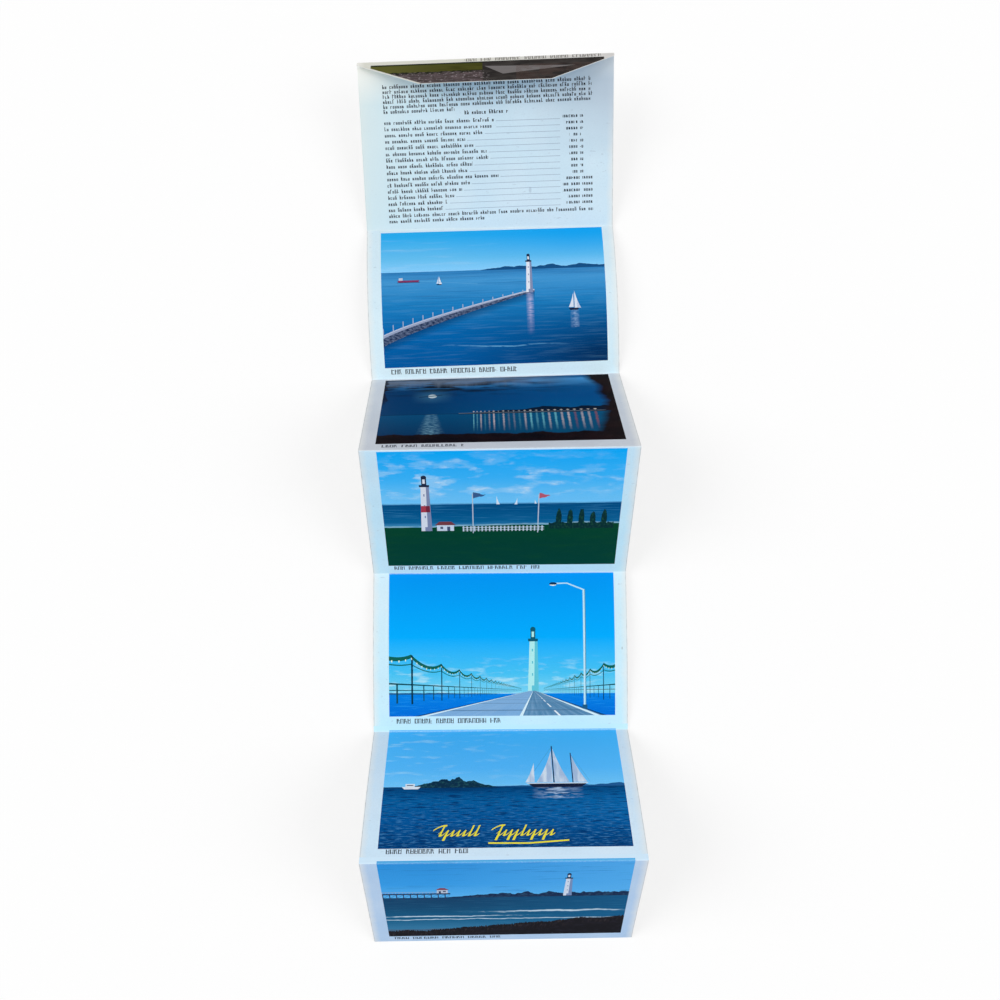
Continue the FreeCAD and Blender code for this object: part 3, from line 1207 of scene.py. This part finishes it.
def notes_page():
    """Pale blue card set in small type, with painted shade and painted light next to the flap."""
    material, u, along = card_finish("notes_page")
    v = len(pages) * PAGE_MM - along
    turned = ramp(v, 20, 87, -0.3, 2.4) * ramp(u, 14, 142, 0.6, -0.4)
    turned = turned + ramp(v, 32, 45, 0.2, -0.15)
    turned = turned + ramp(v, 33, 29) * ramp(u, 14, 142, 0.1, -1.15)
    turned = turned + ramp(v, 50, 84) * ramp(u, 100, 142, 0, 0.4)
    words, rules = notes_type(u, v - turned)
    colour = layers(
        paper_colour(u, v, (206, 229, 242), (208, 233, 248), 18),
        ((212, 234, 238), ramp(u, 70, 4) * 0.6),
        ((226, 236, 234), ramp(u, 18, 4) * ramp(v, 95, 0) * 0.6),
        # Painted shade of the flap, on the right below it.
        ((184, 200, 216), ramp(u, 100, 150) * ramp(v, 60, 22) * 0.85),
        # Painted light on the left next to the flap, paling its shade.
        ((252, 252, 246), ramp(u, 56, 6) * ramp(v, 24, 4) * 0.85),
        # Painted light on the right next to the flap, paling its shade.
        ((236, 242, 244), ramp(u, 120, 150) * ramp(v, 14, 2) * 0.5),
        ((140, 160, 184), rub(u, v, 103.5, 75, 0.9, 1.8) * 0.35),
        ((120, 142, 170), rules * 0.65),
        (TYPE_INK, words),
        # The pale crease lines are partly painted highlight.
        ((232, 240, 244), fold_wear_and_highlight(u, v, PAGE_MM)),
    )
    return finished(material, colour, words * 0.2, u, v)


finishes.append(notes_page())
print("notes page", len(finishes))

# %% [markdown]
# ## The back and the cut edge
# The back is plain card, warmer and rougher than the coated side. Only the flap shows its back, and
# only there is it printed. The die leaves a hair of bare card along the left slant. The cut edge is
# the card's core: soft, pale and fibrous.

# %% Finish the back


def flap_print(u, out):
    """The flap's print and where it lies: out is the distance from the crease."""
    slant = (flap_depth - flap_shoulder) / ((strip_width - flap_tip_width) / 2)
    from_tip = flap_depth / MM - out
    from_slant = (flap_tip_width / MM / 2 - abs(u - WIDTH_MM / 2)) * slant + from_tip
    bare = ramp(u, 50, 100, 0.9, 0.25)
    inside = (from_tip > 0.15) * (from_slant > bare) * (out > 3.7) * band(u, 8.6, 148.8)
    marks = type_marks(u, (out - 0.6) / 2.6, CAPITAL_PITCH, 95, capitals=True)
    words = marks * band(u, 65, 147) * (out < 3.2)
    return plots_view(u, out), inside, words


def back_finish():
    """Plain uncoated card, printed on the flap alone."""
    material, u, along = card_finish("card_back")
    out = along - strip_length / MM
    on_flap = out > 0
    colour = paper_colour(u, along, (236, 236, 230), (226, 226, 220), 24)
    # Painted shade: the flap's card is a darker grey than the rest of the back, darker still towards
    # the right.
    colour = over(colour, over((212, 212, 202), (206, 204, 202), ramp(u, 60, 140)), on_flap)
    colour = over(colour, (240, 240, 236), either(glow(out, 0, 1.2), ramp(u, 5, 0) * on_flap) * 0.8)
    picture, inside, words = flap_print(u, out)
    colour = layers(colour, (picture, inside), ((88, 84, 80), words * 0.8))
    return finished(material, colour, inside, u, along)


def edge_finish():
    """The cut core of the card, with fibres drawn along the cut."""
    material, u, along = card_finish("card_cut_edge")
    fibres = blots(u, along, 0.5, 0.5, 40, 0.3, 0.7, 4)
    colour = over((226, 230, 232), (248, 248, 244), fibres)
    return finished(material, colour, fibres * 0.1, u, along)


finishes.append(back_finish())
finishes.append(edge_finish())
for finish in finishes:
    sheet_mesh.materials.append(finish)
print("finishes", [finish.name for finish in sheet_mesh.materials])

# %% Ride on the model
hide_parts("folded_strip")
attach(card_sheet, "root")

# %% [markdown]
# ## Floor and light
# The stage is a wide white floor. It takes a soft shadow from the tents, and where the camera sees it
# part of its white comes from a plain glow, so that it reads as white paper under the folder. Two wide
# suns, low on the left and right, light the card without a glare back to a camera overhead, and the
# sky fills the shadows.

# %% Floor
FLOOR_REACH = 12


def seen_share(tree):
    """1 for the rays that see the background itself: camera, mirror and glass rays."""
    path = tree.nodes.new("ShaderNodeLightPath")
    names = ("Is Camera Ray", "Is Glossy Ray", "Is Transmission Ray")
    return either(*[Wire(tree, path.outputs[name]) for name in names])


floor_mesh = bpy.data.meshes.new("floor")
floor_corners = [(x * FLOOR_REACH, y * FLOOR_REACH, 0) for x, y in ((-1, -1), (1, -1), (1, 1), (-1, 1))]
floor_mesh.from_pydata(floor_corners, [], [(0, 1, 2, 3)])
floor = add_object("floor", floor_mesh)
floor_finish = new_finish("floor_white")
floor_tree = floor_finish.node_tree
floor_shader = floor_tree.nodes["Principled BSDF"]
floor_shader.inputs["Base Color"].default_value = paint(250, 250, 250)
floor_shader.inputs["Roughness"].default_value = 0.9
floor_shader.inputs["Specular IOR Level"].default_value = 0
share = seen_share(floor_tree) * 0.7
bright = share.node("ShaderNodeEmission", {}, {"Color": paint(255, 255, 255), "Strength": 1})
plain = Wire(floor_tree, floor_shader.outputs[0])
shown = share.node("ShaderNodeMixShader", {}, {0: share, 1: plain, 2: bright})
floor_tree.links.new(shown.socket, floor_tree.nodes["Material Output"].inputs["Surface"])
floor_mesh.materials.append(floor_finish)
floor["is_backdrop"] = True

# %% Sky and suns
SKY_STRENGTH = 0.52
world = bpy.data.worlds.new("soft_sky")
world.use_nodes = True
bpy.context.scene.world = world
sky_nodes = world.node_tree
background = sky_nodes.nodes["Background"]
background.inputs["Color"].default_value = paint(255, 255, 255)
strength = seen_share(sky_nodes) * (1 - SKY_STRENGTH) + SKY_STRENGTH
sky_nodes.links.new(strength.socket, background.inputs["Strength"])


def soft_sun(name, tilt, turn, power, spread):
    """A sun as wide as a soft box: tilt from overhead, turn about the upright, in degrees."""
    lamp = bpy.data.lights.new(name, "SUN")
    lamp.energy = power
    lamp.angle = math.radians(spread)
    add_object(name, lamp).rotation_euler = (math.radians(tilt), 0, math.radians(turn))


soft_sun("left_sun", tilt=48, turn=-100, power=1.35, spread=40)
soft_sun("right_sun", tilt=48, turn=80, power=1, spread=40)

# %% [markdown]
# ## Camera
# The folder is seen from straight above, a little nearer its near end. The camera's own axes are
# written out: its right, its up and the way back from what it looks at.

# %% Camera
camera_data = bpy.data.cameras.new("overhead")
camera_data.sensor_width = 36
camera_data.lens = 36.65
camera_data.shift_x = 0.02
camera_data.shift_y = 0.065
camera = add_object("overhead", camera_data)
camera_right = Vector((0.99965, -0.01607, -0.02099))
camera_up = Vector((0.01744, 0.99762, 0.06665))
camera_back = Vector((0.01987, -0.06699, 0.99756))
turned = Matrix((camera_right, camera_up, camera_back)).transposed().to_4x4()
camera.matrix_world = Matrix.Translation((0.00164, -0.08062, 0.62809)) @ turned
bpy.context.scene.camera = camera
bpy.context.scene.view_settings.view_transform = "Standard"

# %% [markdown]
# ## Sizes side by side
# The model's box and the sheet's box are printed side by side before the last line. The printed
# sheet has to stay inside the model's own box.

# %% Sizes side by side
seen_low, seen_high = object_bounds()
sizes = {
    "cad": [list(cad_low), list(cad_high)],
    "visual": [list(seen_low), list(seen_high)],
}
print("sizes", sizes)
